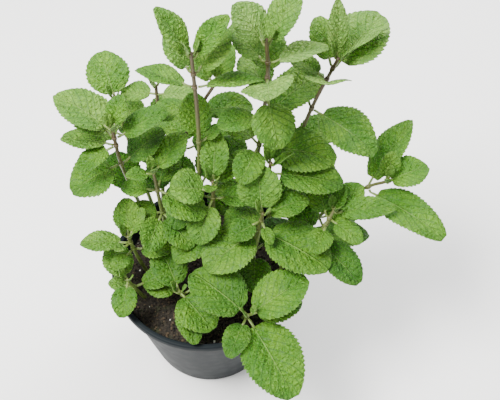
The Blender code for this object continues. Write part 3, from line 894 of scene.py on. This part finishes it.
def fine_leaf(piece, seat, out, leaf, tone, seed):
    """Serrated, quilted blade on its stalk, following the coarse leaf's line."""
    length, width = leaf[3], leaf[4]
    rows = coarse_rows(length)
    start, lead, frame = leaf_frame(seat, out, leaf, rows)
    count = max(LEAST_ROWS, int(length * ROWS_PER_MM))
    u = np.linspace(0, 1, count)
    v = np.sin(np.linspace(-0.5, 0.5, COLUMNS) * np.pi)
    centre, across, face = (
        along_line([row[part] for row in frame], u * (rows - 1)) for part in range(3)
    )
    half = np.array([max(width * blade_half_width(w), 0.75 * PETIOLE_RADIUS) for w in u])
    reach = blade_reach(u, v, half, length)
    height = blade_height(u, v, half, length, seed)
    foot = BLADE_FOOT * np.clip(1 - u * count / 6, 0, 1)[:, None]
    sheet = centre[:, None, :] + reach[..., None] * across[:, None, :]
    top = sheet + (height + SHEET + foot)[..., None] * face[:, None, :]
    low = sheet + (height - SHEET - foot)[..., None] * face[:, None, :]
    ring = np.concatenate([top, low[:, ::-1]], axis=1)
    columns = 2 * COLUMNS
    along = np.repeat(u, columns)
    over = np.tile(np.concatenate([v, v[::-1]]), count)
    under = np.tile(np.concatenate([np.zeros(COLUMNS), np.ones(COLUMNS)]), count)
    faces = tube_faces(count, columns)
    piece.add(ring.reshape(-1, 3), faces, BLADE_LOOK, along, over, tone, under)
    fine_stalk(piece, seat, out, start, lead, frame[0])


def flush(path, share):
    """Purple flush: none at the root, strongest at the tip of a tall stem."""
    return share * min(1.0, path[-1].z / TALL_STEM)


def fine_stem(piece, path):
    """Square-sided stem that thins toward its tip."""
    steps = np.linspace(0, len(path) - 1, 8 * len(path)) - 1e-6
    line = along_line([tuple(q) for q in path], steps)
    turns = np.linspace(0, 2 * np.pi, STEM_POINTS, endpoint=False)
    square = 1 + STEM_SQUARENESS * np.cos(4 * turns)
    points = []
    tones = []
    for k, middle in enumerate(line):
        ahead = Vector(line[min(k + 1, len(line) - 1)] - line[max(k - 1, 0)]).normalized()
        side, other = cross_axes(ahead)
        share = min(1.0, max(0.0, stem_share(path, middle[2])))
        radius = float(stem_radius(share)) * STEM_SLIMNESS
        for turn, swell in zip(turns.tolist(), square.tolist()):
            way = math.cos(turn) * side + math.sin(turn) * other
            points.append(Vector(middle) + radius * swell * way)
        tones += [flush(path, share)] * STEM_POINTS
    faces = tube_faces(len(line), STEM_POINTS)
    piece.add([tuple(q) for q in points], faces, STEM_LOOK, tone=tones)


def fine_collar(piece, path, height):
    """Rounded swelling where a pair of leaves meets the stem."""
    centre, axis, radius = stem_at(path, height)
    side, other = cross_axes(axis)
    bore = radius + 0.05
    points = []
    for turn in np.linspace(0, 2 * np.pi, COLLAR_TURNS, endpoint=False):
        way = math.cos(turn) * side + math.sin(turn) * other
        for bulge in np.linspace(0, 2 * np.pi, COLLAR_ROUND, endpoint=False):
            out = bore + 0.15 + COLLAR_BULGE * math.cos(bulge)
            rise = 0.6 * COLLAR_HEIGHT * math.sin(bulge)
            points.append(centre + way * out + axis * rise)
    faces = hoop_faces(COLLAR_TURNS, COLLAR_ROUND)
    tone = flush(path, stem_share(path, height))
    piece.add([tuple(q) for q in points], faces, STEM_LOOK, tone=tone)


def leaf_tone(key, rank, slot, height):
    """0 deep green, 0.5 fresh green, 1 pale grey-green."""
    index = list(SHOOTS).index(key)
    vary = 0.5 + 0.5 * math.sin(7.3 * index + 2.9 * rank + 4.1 * slot)
    base = 0.30 + 0.35 * (height - SOIL_TOP) / 180
    if key in PALE_SHOOTS:
        base += 0.22
    if rank >= 3:
        base -= 0.18
    return min(1.0, max(0.0, base + 0.28 * (vary - 0.5)))


def dress_plant(stems, placed, materials):
    """One fine piece for every shoot and every collared node of leaves."""
    for key, (marks, nodes) in SHOOTS.items():
        path = stems[key]
        shoot = Piece("fine_shoot_" + key)
        fine_stem(shoot, path)
        for slot in range(len(BUD_LEAVES)):
            leaf = placed[key, "bud", slot]
            seat, out = seat_for(path, path[-1].z - 1.0, leaf[0], False)
            fine_leaf(shoot, seat, out, leaf, BUD_TONE, slot)
        for rank, node in enumerate(nodes):
            holder = shoot
            if rank:
                holder = Piece("fine_leaves_%s%d" % (key, rank))
                fine_collar(holder, path, node[0])
            for slot in range(len(node) - 1):
                leaf = placed[key, rank, slot]
                seat, out = seat_for(path, node[0], leaf[0], rank > 0)
                tone = leaf_tone(key, rank, slot, node[0])
                fine_leaf(holder, seat, out, leaf, tone, 1.7 * rank + 3.1 * slot + node[0])
            if rank:
                holder.make(materials, "leaf_green", ["leaves_%s%d" % (key, rank)])
        shoot.make(materials, "stem_green", ["shoot_" + key])


# ---------------------------------------------------------------- fine pot and soil
def arc(centre_r, centre_z, radius, start, end, count=6):
    """Points of a rounded corner in (radius, height)."""
    points = []
    for k in range(count):
        turn = math.radians(start + (end - start) * k / (count - 1))
        points.append((centre_r + radius * math.cos(turn), centre_z + radius * math.sin(turn)))
    return points


def dress_pot(plastic):
    """Thin tapered pot with a rounded lip over a small shoulder, and a flat floor."""
    under = POT_HEIGHT - LIP_HEIGHT
    inside = outer_radius(POT_HEIGHT) - WALL
    foot = outer_radius(FLOOR) - WALL
    outline = [(12.0, 0.0), (30.0, 0.0)]
    outline += arc(BASE_RADIUS - 1.4, 1.4, 1.4, -90, -8)
    outline += [(outer_radius(z), z) for z in (5.0, 12.0, 30.0, 55.0, 76.0, 85.0)]
    outline += [(outer_radius(under - 1.6), under - 1.6), (outer_radius(under) + 0.5, under - 0.5)]
    outline += arc(RIM_RADIUS - 0.9, under + 0.9, 0.9, -70, 0)
    outline += [(RIM_RADIUS, under + 2.2)]
    outline += arc(RIM_RADIUS - 1.3, POT_HEIGHT - 1.3, 1.3, 0, 90)
    outline += arc(inside + 1.0, POT_HEIGHT - 1.0, 1.0, 90, 180)
    outline += [(inside - 0.5, POT_HEIGHT - 4.0)]
    slope = (inside - foot) / (POT_HEIGHT - FLOOR)
    outline += [(foot + slope * (z - FLOOR), z) for z in (80.0, 60.0, 30.0, 8.0)]
    outline += arc(foot - 1.6, FLOOR + 2.0, 2.0, 0, -90)
    outline += [(30.0, FLOOR)]
    turns = np.linspace(0, 2 * np.pi, POT_TURNS, endpoint=False)
    profile = np.array(outline)
    points = [(r * math.cos(t), r * math.sin(t), z) for t in turns for r, z in profile]
    n = len(profile)
    faces = []
    for i in range(POT_TURNS):
        j = (i + 1) % POT_TURNS
        for k in range(n - 1):
            faces.append((i * n + k, j * n + k, j * n + k + 1, i * n + k + 1))
    faces.append(tuple(i * n for i in reversed(range(POT_TURNS))))
    faces.append(tuple(i * n + n - 1 for i in range(POT_TURNS)))
    pot = Piece("fine_pot")
    pot.add(points, faces, 0)
    made = pot.make([plastic], "pot_plastic", ["pot"])
    made.data.set_sharp_from_angle(angle=math.radians(50))


def crumb(rng, size):
    """Lumpy little solid: two uneven rings between two points."""
    count = CRUMB_SIDES
    points = [(0.0, 0.0, 0.6)]
    for level in (0.35, -0.35):
        for k in range(count):
            turn = 2 * math.pi * k / count
            reach = rng.uniform(0.7, 1.15)
            height = level * rng.uniform(0.7, 1.2)
            points.append((reach * math.cos(turn), reach * math.sin(turn), height))
    points.append((0.0, 0.0, -0.6))
    faces = [(0, 1 + k, 1 + (k + 1) % count) for k in range(count)]
    for k in range(count):
        n = (k + 1) % count
        faces.append((1 + k, 1 + count + k, 1 + count + n, 1 + n))
        faces.append((1 + count + k, 1 + 2 * count, 1 + count + n))
    spin = rng.uniform(0, 2 * math.pi)
    tilt = rng.uniform(-0.6, 0.6)
    squash = np.array([1.0, rng.uniform(0.6, 1.0), rng.uniform(0.5, 0.9)])
    shape = np.array(points) * size * squash
    c, s = math.cos(spin), math.sin(spin)
    turn = np.array([[c, -s, 0], [s, c, 0], [0, 0, 1]])
    c, s = math.cos(tilt), math.sin(tilt)
    lean = np.array([[1, 0, 0], [0, c, -s], [0, s, c]])
    return shape @ turn.T @ lean.T, faces


def dress_soil(mix):
    """Uneven surface built up of crumbs and a few pale grains."""
    reach = outer_radius(SOIL_TOP - 1) - WALL - GAP - 0.1
    foot = outer_radius(FLOOR) - WALL - GAP - 0.15
    rng = np.random.default_rng(SOIL_SEED)
    turns = np.linspace(0, 2 * np.pi, SOIL_TURNS, endpoint=False)
    points = [(foot * math.cos(t), foot * math.sin(t), FLOOR + GAP) for t in turns]
    rough = rng.normal(0, SOIL_ROUGHNESS, (SOIL_ROWS, SOIL_TURNS))
    for r in range(SOIL_ROWS):
        share = 1 - (r / SOIL_ROWS) ** 1.1
        for c, t in enumerate(turns):
            x = reach * share * math.cos(t)
            y = reach * share * math.sin(t)
            points.append((x, y, soil_height(x, y) - 0.4 + (rough[r, c] if r else -0.4)))
    soil = Piece("fine_soil")
    soil.add(points, tube_faces(SOIL_ROWS + 1, SOIL_TURNS), 0, tone=SOIL_TONE)
    for k in range(CRUMBS):
        radius = reach * math.sqrt(rng.uniform(0, 0.97))
        turn = rng.uniform(0, 2 * math.pi)
        size = rng.uniform(0.45, 1.35)
        x = radius * math.cos(turn)
        y = radius * math.sin(turn)
        tone = rng.uniform(0, 0.9)
        if k % PALE_GRAIN_EVERY == 0:
            tone = 1.0
            size *= 0.75
        shape, faces = crumb(rng, size)
        place = np.array([x, y, soil_height(x, y) - 0.1])
        soil.add(shape + place, faces, 0, tone=tone)
    soil.make([mix], "soil_mix", ["soil"])


# ---------------------------------------------------------------- stage
def stage_floor():
    """Plain pale floor."""
    mesh = bpy.data.meshes.new("floor")
    reach = FLOOR_REACH
    corners = [(-reach, -reach, 0), (reach, -reach, 0), (reach, reach, 0), (-reach, reach, 0)]
    mesh.from_pydata(corners, [], [(0, 1, 2, 3)])
    floor = bpy.data.objects.new("floor", mesh)
    bpy.context.scene.collection.objects.link(floor)
    paint = Shader("floor_paint", 0.9, 0.1)
    paint.surface.inputs["Base Color"].default_value = (0.93, 0.93, 0.93, 1.0)
    mesh.materials.append(paint.material)


def add_light(name, place, aim, size, power, colour):
    """One square area light."""
    data = bpy.data.lights.new(name, "AREA")
    data.size = size
    data.energy = power
    data.color = colour
    lamp = bpy.data.objects.new(name, data)
    lamp.location = place
    lamp.rotation_euler = (Vector(aim) - Vector(place)).to_track_quat("-Z", "Y").to_euler()
    bpy.context.scene.collection.objects.link(lamp)


def light_and_camera():
    """Soft studio light and the camera."""
    world = bpy.data.worlds.new("studio")
    bpy.context.scene.world = world
    world.use_nodes = True
    sky = world.node_tree.nodes["Background"]
    sky.inputs[0].default_value = (1, 1, 1, 1)
    sky.inputs[1].default_value = STUDIO_STRENGTH
    for light in LIGHTS:
        add_light(*light)
    data = bpy.data.cameras.new("camera")
    data.sensor_fit = "HORIZONTAL"
    data.sensor_width = CAMERA_SENSOR
    data.lens = CAMERA_LENS
    camera = bpy.data.objects.new("camera", data)
    camera.location = [c * MM for c in CAMERA_PLACE]
    camera.rotation_euler = (math.radians(90 - CAMERA_DOWN), 0, 0)
    bpy.context.scene.collection.objects.link(camera)
    bpy.context.scene.camera = camera


def main():
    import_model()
    stems = {key: stem_path(shoot[0]) for key, shoot in SHOOTS.items()}
    placed = grow_leaves(stems)
    dress_plant(stems, placed, [stem_material(), leaf_material()])
    dress_pot(pot_material())
    dress_soil(soil_material())
    stage_floor()
    light_and_camera()


main()
